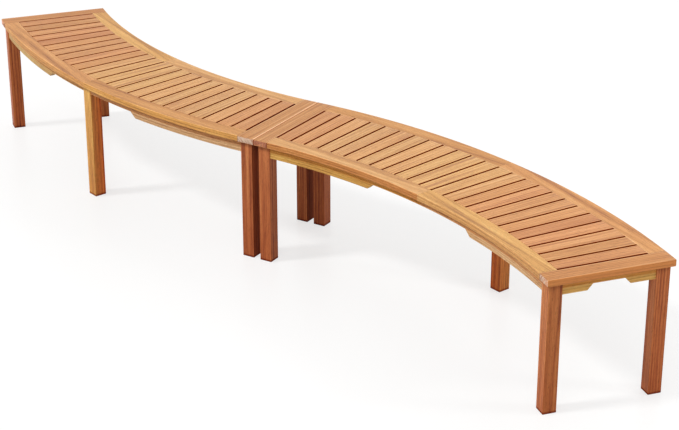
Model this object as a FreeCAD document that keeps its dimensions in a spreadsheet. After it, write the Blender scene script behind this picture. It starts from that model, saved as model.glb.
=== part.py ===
"""Curved fire pit bench: two alike slatted hardwood sections that stand end to end in a lazy S.

Millimetres, +Z up. The origin is on the ground under the middle of the seam between the sections. +X runs
square to the seam into the right section, and +Y runs along the seam to that section's bulging side.

A section is drawn about the centre of its own arc, with +Y through its middle. Its seam end lies
anticlockwise of the middle and its free end clockwise. At either end a point is given as (u, v): u is the
distance in from the end of the seat, and v the distance in from the seat's inner or outer edge.
"""
import FreeCAD
import Part
import Sketcher
import os
import re

# Driving dimensions, in millimetres and degrees.
SIZES = {
    # the seat and its place
    "seat_height": 450,
    "seat_width": 415,
    "inner_radius": 2095,
    "arc_angle": 39,
    "seam_gap": 0.5,
    # the boards of the top
    "top_thickness": 22,
    "edge_ease": 2,
    "rail_width": 57,
    "end_board_width": 60,
    "slats_per_group": 6,
    "slat_gap": 6,
    "slat_clearance": 0.4,
    # joints between the boards of the top
    "tongue_thickness": 8,
    "tongue_width": 40,
    "groove_depth": 10,
    "rail_tenon_inset": 12,
    "rail_tenon_width": 30,
    "rail_tenon_length": 18,
    "fit_clearance": 0.2,
    # legs
    "leg_side": 45,
    "leg_ease": 2,
    "leg_end_inset": 13,
    "leg_side_inset": 10,
    "middle_leg_inset": 12,
    # aprons
    "apron_thickness": 18,
    "apron_setback": 4,
    "apron_depth": 40,
    "strip_depth": 20,
    "side_cutout_angle": 12.66,
    "side_cutout_bevel": 24,
    "end_cutout_length": 105,
    "end_cutout_bevel": 18,
    "tenon_thickness": 8,
    "tenon_length": 15,
    "tenon_drop": 8,
    "tenon_height": 24,
    "strip_tenon_drop": 4,
    "strip_tenon_height": 12,
    # bearer and corner blocks
    "bearer_width": 70,
    "bearer_depth": 20,
    "bearer_tenon_width": 30,
    "bearer_tenon_drop": 6,
    "bearer_tenon_height": 8,
    "block_reach": 50,
    "block_height": 36,
    "curve_clearance": 0.3,
    # coach screws of the legs, and their square plate washers
    "bolt_diameter": 8,
    "bolt_flat": 10,
    "bolt_bite": 36,
    "bolt_head_width": 13,
    "bolt_head_height": 5.5,
    "washer_side": 24,
    "washer_thickness": 3,
}

SLAT_GROUPS = 4

# Sizes that follow from the driving ones.
LAYOUT = {
    "outer_radius": "inner_radius + seat_width",
    "mid_radius": "inner_radius + seat_width / 2",
    "half_angle": "arc_angle / 2",
    "top_underside": "seat_height - top_thickness",
    # the top: where rails meet end boards, and the fan of slats between them
    "end_board_angle": "end_board_width / mid_radius * 180 / pi",
    "joint_angle": "half_angle - end_board_angle",
    "fan_angle": "2 * joint_angle - slat_gap / mid_radius * 180 / pi",
    "slat_pitch": f"fan_angle / ({SLAT_GROUPS} * slats_per_group)",
    "slat_low": "inner_radius + rail_width + slat_clearance",
    "slat_low_half": "slat_low * tan(slat_pitch / 2) - slat_gap / 2",
    "slat_high_half": "(outer_radius - rail_width) * tan(slat_pitch / 2) - slat_gap / 2",
    "slat_high": "sqrt((outer_radius - rail_width) ^ 2 - slat_high_half ^ 2) - slat_clearance",
    "tongue_reach": "groove_depth - slat_clearance",
    "tongue_low": "seat_height - top_thickness / 2 - tongue_thickness / 2",
    "tongue_high": "tongue_low + tongue_thickness",
    # the inner corner of an end leg, and the aprons that stand on the leg's two sides
    "leg_far_u": "leg_end_inset + leg_side",
    "leg_far_v": "leg_side_inset + leg_side",
    "apron_face": "leg_side_inset + apron_setback",
    "apron_back": "apron_face + apron_thickness",
    "apron_gap": "leg_side - apron_setback - apron_thickness",
    "apron_cheek": "(apron_thickness - tenon_thickness) / 2",
    "apron_low": "top_underside - apron_depth",
    "strip_low": "top_underside - strip_depth",
    "inner_apron_start": "asin(leg_far_u / (inner_radius + apron_face)) / (1 deg)",
    "outer_apron_start": "asin(leg_far_u / (outer_radius - apron_back)) / (1 deg)",
    "middle_leg_angle": "asin(leg_side / 2 / (outer_radius - apron_back)) / (1 deg)",
    # the corner block, and the bolt that crosses its long face squarely
    "block_low": "top_underside - block_height",
    "block_face_sum": "leg_far_u + leg_far_v + block_reach - apron_gap",
    "block_through": "(block_reach - apron_gap + bolt_flat) / sqrt(2)",
    "bolt_level": "top_underside - block_height / 2",
    "bolt_start": "bolt_flat / 2 + bolt_bite / sqrt(2)",
    "washer_seat": "bolt_bite + block_through",
    "bolt_length": "washer_seat + washer_thickness",
}

SEAM, FREE = 1, -1
INNER, OUTER = 1, -1
END_NAMES = {SEAM: "seam", FREE: "free"}
SIDE_NAMES = {INNER: "inner", OUTER: "outer"}
EDGES = {INNER: "inner_radius", OUTER: "outer_radius"}
BOLT_HEADINGS = {(SEAM, INNER): 45, (SEAM, OUTER): -45, (FREE, INNER): 135, (FREE, OUTER): -135}
CORNERS = list(BOLT_HEADINGS)
OVERCUT = 1


def formula(text):
    """Expression text in which each size named in a sheet is written with its sheet."""
    def in_full(match):
        word = match.group(0)
        if word in SIZES:
            return "Size." + word
        if word in LAYOUT:
            return "Layout." + word
        return word
    return re.sub(r"[a-z][a-z_]*", in_full, text)


def add_sheets(doc):
    """Two spreadsheets: the driving dimensions, and the sizes that follow from them."""
    size = doc.addObject("Spreadsheet::Sheet", "Size")
    for row, (alias, value) in enumerate(SIZES.items(), 1):
        size.set(f"A{row}", alias.replace("_", " "))
        size.set(f"B{row}", str(value))
        size.setAlias(f"B{row}", alias)
    layout = doc.addObject("Spreadsheet::Sheet", "Layout")
    for row, (alias, text) in enumerate(LAYOUT.items(), 1):
        layout.set(f"A{row}", alias.replace("_", " "))
        layout.set(f"B{row}", "=" + formula(text))
        layout.setAlias(f"B{row}", alias)
    doc.recompute()


def turned(angle, axis="0; 0; 1"):
    """Placement expression: a turn about an axis through the origin."""
    rotation = f"create(<<rotation>>; create(<<vector>>; {axis}); {formula(str(angle))})"
    return f"create(<<placement>>; create(<<vector>>; 0; 0; 0); {rotation})"


def moved(x, y, z):
    """Placement expression: a shift."""
    shift = "; ".join(formula(str(value)) for value in (x, y, z))
    return (f"create(<<placement>>; create(<<vector>>; {shift}); "
            "create(<<rotation>>; create(<<vector>>; 0; 0; 1); 0))")


# The right section stands with its seam end square to +X, half the seam gap from the origin.
RIGHT_SECTION = " * ".join([moved("seam_gap / 2", "-mid_radius", 0), turned("-half_angle")])


def new_body(doc, label):
    """Empty body of the right section, placed about the section's arc centre."""
    body = doc.addObject("PartDesign::Body", "right_" + label)
    body.Label = "right_" + label
    body.setExpression("Placement", RIGHT_SECTION)
    return body


def origin_feature(body, role):
    """One of a body's own origin planes or axes."""
    return next(feature for feature in body.Origin.OriginFeatures if feature.Role == role)


def outline_sketch(body, name, plane, outlines, turn="0", offset="0"):
    """Closed outlines of straight edges on an origin plane, turned about Z and shifted along its normal.

    Each corner of an outline is a pair of expressions, and two dimensions from the sketch's origin hold it.
    """
    sketch = body.newObject("Sketcher::SketchObject", f"{body.Name}_{name}")
    sketch.AttachmentSupport = [(origin_feature(body, plane), "")]
    sketch.MapMode = "FlatFace"
    upright = "0; 0; 1" if plane == "XY_Plane" else "0; 1; 0"
    sketch.setExpression("AttachmentOffset", turned(turn, upright) + " * " + moved(0, 0, offset))
    sheet = body.Document.getObject("Size")
    for outline in outlines:
        first = sketch.GeometryCount
        texts = [(formula(x), formula(y)) for x, y in outline]
        points = [FreeCAD.Vector(sheet.evalExpression(x), sheet.evalExpression(y), 0) for x, y in texts]
        following = points[1:] + points[:1]
        sketch.addGeometry([Part.LineSegment(a, b) for a, b in zip(points, following)], False)
        lines = range(first, first + len(points))
        sketch.addConstraint([Sketcher.Constraint("Coincident", line, 2, after, 1)
                              for line, after in zip(lines, [*lines[1:], first])])
        for line, point, text in zip(lines, points, texts):
            for kind, value, expression in zip(("DistanceX", "DistanceY"), point, text):
                index = sketch.addConstraint(Sketcher.Constraint(kind, -1, 1, line, 1, value))
                sketch.setExpression(f"Constraints[{index}]", expression)
    return sketch


def pad(body, name, plane, outlines, length, turn="0", offset="0"):
    """Outlines thickened along the normal of their plane."""
    feature = body.newObject("PartDesign::Pad", f"{body.Name}_{name}_pad")
    feature.Profile = outline_sketch(body, name, plane, outlines, turn, offset)
    feature.setExpression("Length", formula(length))
    body.Tip = feature
    return feature


def pocket(body, name, outline, top, depth, turn="0"):
    """Plan outline cut downwards from a level."""
    feature = body.newObject("PartDesign::Pocket", f"{body.Name}_{name}_pocket")
    feature.Profile = outline_sketch(body, name, "XY_Plane", [outline], turn, top)
    feature.setExpression("Length", formula(depth))
    body.Tip = feature


def cut_across(body, name, outline):
    """Front outline cut right through the piece, along the line to the middle of the arc."""
    feature = body.newObject("PartDesign::Pocket", f"{body.Name}_{name}_pocket")
    feature.Profile = outline_sketch(body, name, "XZ_Plane", [outline])
    feature.SideType = "Symmetric"
    feature.Type = "ThroughAll"
    body.Tip = feature


def sweep_round(body, name, outline, start, angle, clockwise):
    """Cross-section of radius and height carried round the arc's centre."""
    sketch = outline_sketch(body, name, "YZ_Plane", [outline], start)
    feature = body.newObject("PartDesign::Revolution", f"{body.Name}_{name}_sweep")
    feature.Profile = sketch
    feature.ReferenceAxis = (sketch, ["V_Axis"])
    feature.Reversed = clockwise
    feature.setExpression("Angle", formula(angle))
    body.Tip = feature


def bore(body, name, diameter, depth, *steps):
    """Round hole along the Z axis of the placement that the steps lead to."""
    feature = body.newObject("PartDesign::SubtractiveCylinder", f"{body.Name}_{name}_bore")
    feature.setExpression("Radius", formula(f"({diameter}) / 2"))
    feature.setExpression("Height", formula(depth))
    feature.setExpression("Placement", " * ".join(steps))
    body.Tip = feature


def at_end(end, side, u, v):
    """Plan point (u, v) in from an end and an edge of the seat, once the plan is turned to that end."""
    return f"{end} * ({u})", f"{EDGES[side]} + {side} * ({v})"


def end_rectangle(end, side, u_span, v_span):
    """Plan rectangle between two values of u and two of v."""
    (u0, u1), (v0, v1) = u_span, v_span
    return [at_end(end, side, u, v) for u, v in ((u0, v0), (u1, v0), (u1, v1), (u0, v1))]


def eased_square(end, side, u, v, width, ease):
    """Plan square with its corners cut off, from the corner (u, v)."""
    steps = [(ease, 0), (f"{width} - {ease}", 0), (width, ease), (width, f"{width} - {ease}"),
             (f"{width} - {ease}", width), (ease, width), (0, f"{width} - {ease}"), (0, ease)]
    return [at_end(end, side, f"{u} + {du}", f"{v} + {dv}") for du, dv in steps]


def end_turn(end):
    """Turn from the section's middle to one of its ends."""
    return f"{end} * half_angle"


def name_of(end, side, piece):
    """Label of a piece that a section has once at each corner."""
    return f"{END_NAMES[end]}_{SIDE_NAMES[side]}_{piece}"


def bolt_steps(end, side, along):
    """Placement steps to a point on a leg bolt, with Z along the bolt and out of the leg."""
    u, v = at_end(end, side, "leg_far_u - bolt_start", "leg_far_v - bolt_start")
    return (turned(end_turn(end)), moved(u, v, "bolt_level"), turned(BOLT_HEADINGS[end, side]),
            turned(90, "0; 1; 0"), moved(0, 0, along))


def end_leg(doc, end, side):
    """Square leg with a flat for the corner block, a bolt hole, and mortises for two aprons."""
    body = new_body(doc, name_of(end, side, "leg"))
    turn = end_turn(end)
    pad(body, "post", "XY_Plane", [eased_square(end, side, "leg_end_inset", "leg_side_inset", "leg_side",
                                                "leg_ease")], "top_underside", turn)
    top, depth = "top_underside - tenon_drop + fit_clearance", "tenon_height + 2 * fit_clearance"
    cheek = "apron_setback + apron_cheek - fit_clearance"
    slot = "tenon_thickness + 2 * fit_clearance"
    bottom = "tenon_length - fit_clearance"
    pocket(body, "side_mortise", end_rectangle(
        end, side, (f"leg_far_u - {bottom} - 2 * fit_clearance", f"leg_far_u + {OVERCUT}"),
        (f"leg_side_inset + {cheek}", f"leg_side_inset + {cheek} + {slot}")), top, depth, turn)
    pocket(body, "end_mortise", end_rectangle(
        end, side, (f"leg_end_inset + {cheek}", f"leg_end_inset + {cheek} + {slot}"),
        (f"leg_far_v - {bottom} - 2 * fit_clearance", f"leg_far_v + {OVERCUT}")), top, depth, turn)
    flat = [("leg_far_u", "leg_far_v"), ("leg_far_u - bolt_flat", "leg_far_v"),
            ("leg_far_u", "leg_far_v - bolt_flat")]
    pocket(body, "flat", [at_end(end, side, u, v) for u, v in flat], "top_underside", "block_height", turn)
    bore(body, "bolt", "bolt_diameter + 2 * fit_clearance", f"bolt_bite + {2 * OVERCUT}",
         *bolt_steps(end, side, -OVERCUT))
    return body


def middle_leg(doc):
    """Leg under the outer rail's joint, with mortises for the two outer aprons and the bearer."""
    body = new_body(doc, "middle_leg")
    pad(body, "post", "XY_Plane", [eased_square(1, OUTER, "-leg_side / 2", "middle_leg_inset", "leg_side",
                                                "leg_ease")], "top_underside")
    cheek = "apron_face + apron_cheek - fit_clearance"
    for end in (SEAM, FREE):
        pocket(body, f"{END_NAMES[end]}_mortise", end_rectangle(
            -end, OUTER, ("leg_side / 2 - tenon_length - fit_clearance", f"leg_side / 2 + {OVERCUT}"),
            (cheek, f"{cheek} + tenon_thickness + 2 * fit_clearance")),
            "top_underside - strip_tenon_drop + fit_clearance", "strip_tenon_height + 2 * fit_clearance")
    back = "middle_leg_inset + leg_side"
    half = "bearer_tenon_width / 2 + fit_clearance"
    pocket(body, "bearer_mortise", end_rectangle(
        1, OUTER, (f"-({half})", half), (f"{back} - tenon_length - fit_clearance", f"{back} + {OVERCUT}")),
        "top_underside - bearer_tenon_drop + fit_clearance", "bearer_tenon_height + 2 * fit_clearance")
    return body


def rail_tenon(end, side, clearance):
    """Plan of the tenon that joins a rail to an end board, in line with the joint."""
    reach = "rail_tenon_length"
    return end_rectangle(end, side, (f"-{reach} - {clearance}", reach),
                         (f"rail_tenon_inset - {clearance}",
                          f"rail_tenon_inset + rail_tenon_width + {clearance}"))


def end_board(doc, end):
    """Full-width board at an end of the seat, with mortises for the tenons of two rails."""
    body = new_body(doc, f"{END_NAMES[end]}_end_board")
    joint = f"{end} * joint_angle"
    section = [("inner_radius + edge_ease", "top_underside"), ("outer_radius - edge_ease", "top_underside"),
               ("outer_radius", "top_underside + edge_ease"), ("outer_radius", "seat_height - edge_ease"),
               ("outer_radius - edge_ease", "seat_height"), ("inner_radius + edge_ease", "seat_height"),
               ("inner_radius", "seat_height - edge_ease"), ("inner_radius", "top_underside + edge_ease")]
    sweep_round(body, "board", section, joint, "end_board_angle", clockwise=end == FREE)
    for side in (INNER, OUTER):
        pocket(body, f"{SIDE_NAMES[side]}_mortise", rail_tenon(end, side, "fit_clearance"),
               "tongue_high + fit_clearance", "tongue_thickness + 2 * fit_clearance", joint)
    return body


def rail(doc, end, side):
    """Half of a curved seat rail, grooved for the slats, with a tenon for its end board."""
    body = new_body(doc, name_of(end, side, "rail"))
    joint = f"{end} * joint_angle"
    low, high = "tongue_low - fit_clearance", "tongue_high + fit_clearance"
    steps = [("edge_ease", "top_underside"), ("rail_width", "top_underside"), ("rail_width", low),
             ("rail_width - groove_depth", low), ("rail_width - groove_depth", high), ("rail_width", high),
             ("rail_width", "seat_height"), ("edge_ease", "seat_height"),
             ("0", "seat_height - edge_ease"), ("0", "top_underside + edge_ease")]
    section = [(f"{EDGES[side]} + {side} * ({inset})", level) for inset, level in steps]
    sweep_round(body, "rail", section, joint, "joint_angle", clockwise=end == SEAM)
    pad(body, "tenon", "XY_Plane", [rail_tenon(end, side, "0")], "tongue_thickness", joint, "tongue_low")
    return body


def slat_group(doc, index):
    """Neighbouring slats of the fan: one tapered slat with its tongues, repeated round the arc's centre."""
    body = new_body(doc, f"slats_{index + 1}")
    turn = f"slat_pitch * ({SLAT_GROUPS / 2 - index} * slats_per_group - 0.5)"
    slat = [("-slat_low_half", "slat_low"), ("slat_low_half", "slat_low"),
            ("slat_high * tan(slat_pitch / 2) - slat_gap / 2", "slat_high"),
            ("slat_gap / 2 - slat_high * tan(slat_pitch / 2)", "slat_high")]
    low, high = "slat_low - tongue_reach", "slat_high + tongue_reach"
    tongue = [("-tongue_width / 2", low), ("tongue_width / 2", low),
              ("tongue_width / 2", high), ("-tongue_width / 2", high)]
    board = pad(body, "board", "XY_Plane", [slat], "top_thickness", turn, "top_underside")
    tongues = pad(body, "tongues", "XY_Plane", [tongue], "tongue_thickness", turn, "tongue_low")
    fan = body.newObject("PartDesign::PolarPattern", f"{body.Name}_fan")
    fan.Originals = [board, tongues]
    fan.Axis = (origin_feature(body, "Z_Axis"), [""])
    fan.Reversed = True
    fan.setExpression("Occurrences", formula("slats_per_group"))
    fan.setExpression("Angle", formula("slat_pitch * (slats_per_group - 1)"))
    body.Tip = fan
    return body


def side_apron(doc, end, side):
    """Half of a curved apron: deep beside the end leg, then bevelled up to a shallow strip."""
    body = new_body(doc, name_of(end, side, "apron"))
    face, back = (f"{EDGES[side]} + {side} * {inset}" for inset in ("apron_face", "apron_back"))
    leg_angle = f"{SIDE_NAMES[side]}_apron_start"
    middle_angle = "0" if side == INNER else "middle_leg_angle"
    section = [(face, "apron_low"), (back, "apron_low"), (back, "top_underside"), (face, "top_underside")]
    sweep_round(body, "board", section, f"{end} * (half_angle - {leg_angle})",
                f"half_angle - {leg_angle} - {middle_angle}", clockwise=end == SEAM)
    bevel_middle = f"({face}) * sin(side_cutout_angle / 2)"
    corners = [(f"-{OVERCUT}", "strip_low"), (f"{bevel_middle} - side_cutout_bevel / 2", "strip_low"),
               (f"{bevel_middle} + side_cutout_bevel / 2", "apron_low"),
               (f"{bevel_middle} + side_cutout_bevel / 2", f"apron_low - {OVERCUT}"),
               (f"-{OVERCUT}", f"apron_low - {OVERCUT}")]
    cut_across(body, "cutout", [(f"{-end} * ({x})", z) for x, z in corners])
    cheeks = ("apron_face + apron_cheek", "apron_face + apron_cheek + tenon_thickness")
    leg_tenon = end_rectangle(end, side, ("leg_far_u - tenon_length", "leg_far_u + tenon_length"), cheeks)
    pad(body, "leg_tenon", "XY_Plane", [leg_tenon], "tenon_height", end_turn(end),
        "top_underside - tenon_drop - tenon_height")
    if side == OUTER:
        span = ("leg_side / 2 - tenon_length", "leg_side / 2 + tenon_length")
        middle_tenon = end_rectangle(-end, side, span, cheeks)
        pad(body, "middle_tenon", "XY_Plane", [middle_tenon], "strip_tenon_height", "0",
            "top_underside - strip_tenon_drop - strip_tenon_height")
    return body


def end_apron(doc, end):
    """Straight apron between two end legs, with a bevelled cut-out and a tenon at each end."""
    body = new_body(doc, f"{END_NAMES[end]}_end_apron")
    low, high = "inner_radius + leg_far_v", "outer_radius - leg_far_v"
    half = "end_cutout_length / 2"
    front = [(low, "top_underside"), (low, "apron_low"),
             (f"mid_radius - {half} - end_cutout_bevel", "apron_low"),
             (f"mid_radius - {half}", "strip_low"), (f"mid_radius + {half}", "strip_low"),
             (f"mid_radius + {half} + end_cutout_bevel", "apron_low"),
             (high, "apron_low"), (high, "top_underside")]
    face = "leg_end_inset + apron_setback"
    near_side = face if end == SEAM else f"-({face} + apron_thickness)"
    pad(body, "board", "YZ_Plane", [front], "apron_thickness", end_turn(end), near_side)
    cheeks = (f"{face} + apron_cheek", f"{face} + apron_cheek + tenon_thickness")
    span = ("leg_far_v - tenon_length", "leg_far_v + tenon_length")
    tenons = [end_rectangle(end, side, cheeks, span) for side in (INNER, OUTER)]
    pad(body, "tenons", "XY_Plane", tenons, "tenon_height", end_turn(end),
        "top_underside - tenon_drop - tenon_height")
    return body


def corner_block(doc, end, side):
    """Wedge of timber behind an end leg, notched for the leg and square to its bolt."""
    body = new_body(doc, name_of(end, side, "block"))
    back = f"({EDGES[side]} + {side} * (apron_back + curve_clearance))"
    face_sum = f"({EDGES[side]} + {side} * block_face_sum)"
    tip_u = f"{side} * ({face_sum} - sqrt(2 * {back} ^ 2 - {face_sum} ^ 2)) / 2"
    outline = [at_end(end, side, "leg_far_u - apron_gap", "leg_far_v"),
               at_end(end, side, "leg_far_u - bolt_flat", "leg_far_v"),
               at_end(end, side, "leg_far_u", "leg_far_v - bolt_flat"),
               (f"{end} * leg_far_u", f"sqrt({back} ^ 2 - leg_far_u ^ 2)"),
               (f"{end} * ({tip_u})", f"sqrt({back} ^ 2 - ({tip_u}) ^ 2)"),
               at_end(end, side, "leg_far_u - apron_gap", "leg_far_v + block_reach")]
    pad(body, "block", "XY_Plane", [outline], "block_height", end_turn(end), "block_low")
    bore(body, "bolt", "bolt_diameter + 2 * fit_clearance", f"block_through + {2 * OVERCUT}",
         *bolt_steps(end, side, f"bolt_bite - {OVERCUT}"))
    return body


def centre_bearer(doc):
    """Flat bearer under the slats and the inner rail's joint, tenoned into the middle leg."""
    body = new_body(doc, "centre_bearer")
    leg = "outer_radius - middle_leg_inset - leg_side"
    near = "inner_radius + apron_back + curve_clearance"
    board = [("-bearer_width / 2", near), ("bearer_width / 2", near), ("bearer_width / 2", leg),
             ("-bearer_width / 2", leg)]
    pad(body, "board", "XY_Plane", [board], "bearer_depth", "0", "top_underside - bearer_depth")
    tenon = [(f"{sign} * bearer_tenon_width / 2", f"{leg} + {reach} * tenon_length")
             for sign, reach in ((-1, -1), (1, -1), (1, 1), (-1, 1))]
    pad(body, "tenon", "XY_Plane", [tenon], "bearer_tenon_height", "0",
        "top_underside - bearer_tenon_drop - bearer_tenon_height")
    return body


def cylinder(doc, name, diameter, height, *steps):
    """Plain cylinder along the Z axis of the placement that the steps lead to."""
    solid = doc.addObject("Part::Cylinder", name)
    solid.setExpression("Radius", formula(f"({diameter}) / 2"))
    solid.setExpression("Height", formula(height))
    solid.setExpression("Placement", " * ".join([RIGHT_SECTION, *steps]))
    return solid


def leg_bolt(doc, end, side):
    """Coach screw through a corner block into its leg: a plain shank with a hexagon head."""
    name = name_of(end, side, "bolt")
    head = doc.addObject("Part::Prism", name + "_head")
    head.Polygon = 6
    head.setExpression("Circumradius", formula("bolt_head_width / sqrt(3)"))
    head.setExpression("Height", formula("bolt_head_height"))
    head.setExpression("Placement", " * ".join([RIGHT_SECTION, *bolt_steps(end, side, "bolt_length")]))
    whole = doc.addObject("Part::Fuse", name)
    whole.Base = cylinder(doc, name + "_shank", "bolt_diameter", "bolt_length", *bolt_steps(end, side, 0))
    whole.Tool = head
    return whole


def leg_washer(doc, end, side):
    """Square plate washer on a corner block's long face, bored for the coach screw."""
    name = name_of(end, side, "washer")
    plate = doc.addObject("Part::Box", name + "_plate")
    plate.setExpression("Length", formula("washer_side"))
    plate.setExpression("Width", formula("washer_side"))
    plate.setExpression("Height", formula("washer_thickness"))
    corner = moved("-washer_side / 2", "-washer_side / 2", 0)
    steps = [RIGHT_SECTION, *bolt_steps(end, side, "washer_seat"), corner]
    plate.setExpression("Placement", " * ".join(steps))
    whole = doc.addObject("Part::Cut", name)
    whole.Base = plate
    below = bolt_steps(end, side, f"washer_seat - {OVERCUT}")
    whole.Tool = cylinder(doc, name + "_hole", "bolt_diameter + 2 * fit_clearance",
                          f"washer_thickness + {2 * OVERCUT}", *below)
    return whole


def group(doc, label, solids):
    """One node that holds like fasteners as separate solids."""
    node = doc.addObject("Part::Compound", "right_" + label)
    node.Label = "right_" + label
    node.Links = solids
    return node


def fasteners(doc):
    """Coach screws of the end legs, and their washers."""
    return [group(doc, "leg_bolts", [leg_bolt(doc, *corner) for corner in CORNERS]),
            group(doc, "leg_washers", [leg_washer(doc, *corner) for corner in CORNERS])]


def right_section(doc):
    """Every node of the right section."""
    nodes = [middle_leg(doc), centre_bearer(doc)]
    for end in (SEAM, FREE):
        nodes += [end_board(doc, end), end_apron(doc, end)]
    for end, side in CORNERS:
        nodes += [end_leg(doc, end, side), rail(doc, end, side), side_apron(doc, end, side),
                  corner_block(doc, end, side)]
    nodes += [slat_group(doc, index) for index in range(SLAT_GROUPS)]
    return nodes + fasteners(doc)


def left_twin(doc, node):
    """The same piece of the left section: a copy turned half a turn about the middle of the seam."""
    label = node.Label.replace("right_", "left_", 1)
    twin = doc.addObject("Part::Compound", label)
    twin.Label = label
    twin.Links = [node]
    twin.Placement = FreeCAD.Placement(FreeCAD.Vector(), FreeCAD.Rotation(FreeCAD.Vector(0, 0, 1), 180))
    return twin


def check(doc, nodes):
    """Stops at a failed object, a bad shape, or a cut or pad that changed nothing."""
    failed = [item.Name for item in doc.Objects if {"Invalid", "Error"} & set(item.State)]
    failed += [node.Label for node in nodes if node.Shape.isNull() or not node.Shape.isValid()]
    for item in doc.Objects:
        base = getattr(item, "BaseFeature", None)
        if item.isDerivedFrom("PartDesign::Feature") and base is not None:
            if item.Shape.isNull() or abs(item.Shape.Volume - base.Shape.Volume) < 1:
                failed.append(item.Name)
    if failed:
        raise RuntimeError("failed: " + ", ".join(failed))


def main():
    doc = FreeCAD.newDocument("CurvedFirePitBench")
    add_sheets(doc)
    right = right_section(doc)
    nodes = right + [left_twin(doc, node) for node in right]
    doc.recompute()
    check(doc, nodes)
    os.makedirs("parts", exist_ok=True)
    for node in nodes:
        node.Shape.exportStep(f"parts/{node.Label}.step")
    solids = sum(len(node.Shape.Solids) for node in nodes)
    litres = round(sum(node.Shape.Volume for node in nodes) / 1e6, 2)
    print(len(nodes), "nodes,", solids, "solids,", litres, "litres")


main()
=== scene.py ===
# %% [markdown]
# # A curved fire pit bench in oiled hardwood
# Two alike backless benches stand end to end in a lazy S. Each has a fan of tapered slats between curved
# rails, full-width end boards, square legs and shaped aprons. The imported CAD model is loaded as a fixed
# frame, and every visible board is then drawn again with eased edges and a grain of its own.

# %% Load the frame
import bmesh
import bpy
import numpy as np
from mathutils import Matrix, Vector


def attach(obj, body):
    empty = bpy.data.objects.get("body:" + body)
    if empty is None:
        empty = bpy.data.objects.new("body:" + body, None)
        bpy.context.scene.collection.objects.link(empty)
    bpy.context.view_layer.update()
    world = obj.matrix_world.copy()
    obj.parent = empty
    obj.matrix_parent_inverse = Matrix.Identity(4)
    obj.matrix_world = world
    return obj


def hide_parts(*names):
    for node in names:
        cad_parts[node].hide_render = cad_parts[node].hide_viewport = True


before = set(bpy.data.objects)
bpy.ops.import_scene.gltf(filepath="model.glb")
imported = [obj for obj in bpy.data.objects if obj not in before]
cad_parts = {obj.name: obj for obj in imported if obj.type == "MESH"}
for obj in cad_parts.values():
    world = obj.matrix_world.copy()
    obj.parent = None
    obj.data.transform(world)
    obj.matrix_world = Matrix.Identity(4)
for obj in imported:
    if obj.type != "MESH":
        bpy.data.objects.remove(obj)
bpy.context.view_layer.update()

# %% [markdown]
# ## Sizes of the real bench
# All lengths are in metres and all angles in degrees. A section is an arc about its own centre. Angles run
# from the seam between the sections to the free end, and radii from the hollow (inner) edge to the bulging
# (outer) one. The sizes could be typed in wherever they are used, but named once, they can't disagree.

# %% Sizes
SEAT_HEIGHT = 0.450
TOP_THICKNESS = 0.022
TOP_UNDERSIDE = SEAT_HEIGHT - TOP_THICKNESS
INNER_RADIUS = 2.095
OUTER_RADIUS = 2.510
MID_RADIUS = (INNER_RADIUS + OUTER_RADIUS) / 2
ARC = 39.0
MIDDLE = ARC / 2
SEAM_GAP = 0.0005
RAIL_WIDTH = 0.057
END_BOARD_WIDTH = 0.060
SLAT_GAP = 0.006
SLATS = 24
LEG_SIDE = 0.045
ARC_CENTRE = np.array([SEAM_GAP / 2, -MID_RADIUS, 0.0])
UP = np.array([0.0, 0.0, 1.0])
END_BOARD_ANGLE = np.degrees(END_BOARD_WIDTH / MID_RADIUS)
print("end board spans", round(END_BOARD_ANGLE, 3), "degrees of the arc")

# %% [markdown]
# ## A board is an outline carried along a path
# Every piece of timber here is a rounded rectangle carried along a straight line or an arc. A Bevel
# modifier on a box would also ease the edges, but a tapered slat, a curved rail and a shaped apron then
# need three methods. One outline function with widths that may change from station to station makes them
# all. Two unit vectors give the directions on the curved seat.

# %% Directions
def outward(angle):
    """Unit vector of a radius: (sin, cos) of the angle from the seam."""
    a = np.radians(angle)
    return np.array([np.sin(a), np.cos(a), 0.0])


def onward(angle):
    """Unit vector square to a radius, towards the free end: (cos, -sin) of the angle."""
    a = np.radians(angle)
    return np.array([np.cos(a), -np.sin(a), 0.0])


print("at the free end, outward is", outward(ARC).round(3), "and onward is", onward(ARC).round(3))

# %% Outlines
# Steps of the quarter circle on an eased edge, and on the eased rim of a board's end.
EDGE_STEPS, RIM_STEPS = 4, 3
# A strip this wide beside an eased edge keeps smooth shading inside the edge.
STRIP = 0.0006
# Factor that takes in the points that lie right on a limit.
JUST_OVER = 1.01


def corner(centre_x, centre_y, radius, start, strip=STRIP):
    """Quarter circle: centre plus radius times (cos, sin), with a point a little way along the flat at both
    ends."""
    turn = np.radians(start) + np.linspace(0, np.pi / 2, EDGE_STEPS + 1)
    turn = np.concatenate([turn[:1], turn, turn[-1:]])
    slip = np.concatenate([[-strip], np.zeros(EDGE_STEPS + 1), [strip]])
    return np.stack([centre_x + radius * np.cos(turn) - slip * np.sin(turn),
                     centre_y + radius * np.sin(turn) + slip * np.cos(turn)], -1)


def rounded(half_width, half_height, radius, strip=STRIP):
    """Rounded rectangle at every station: four quarter circles about the corners of a smaller rectangle."""
    arrays = np.broadcast_arrays(*map(np.atleast_1d, (half_width, half_height, radius)))
    w, h, r = (a[:, None] for a in arrays)
    quarters = ((1, 1, 0), (-1, 1, 90), (-1, -1, 180), (1, -1, 270))
    arcs = [corner(x * (w - r), y * (h - r), r, start, strip) for x, y, start in quarters]
    return np.concatenate(arcs, 1)


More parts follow.
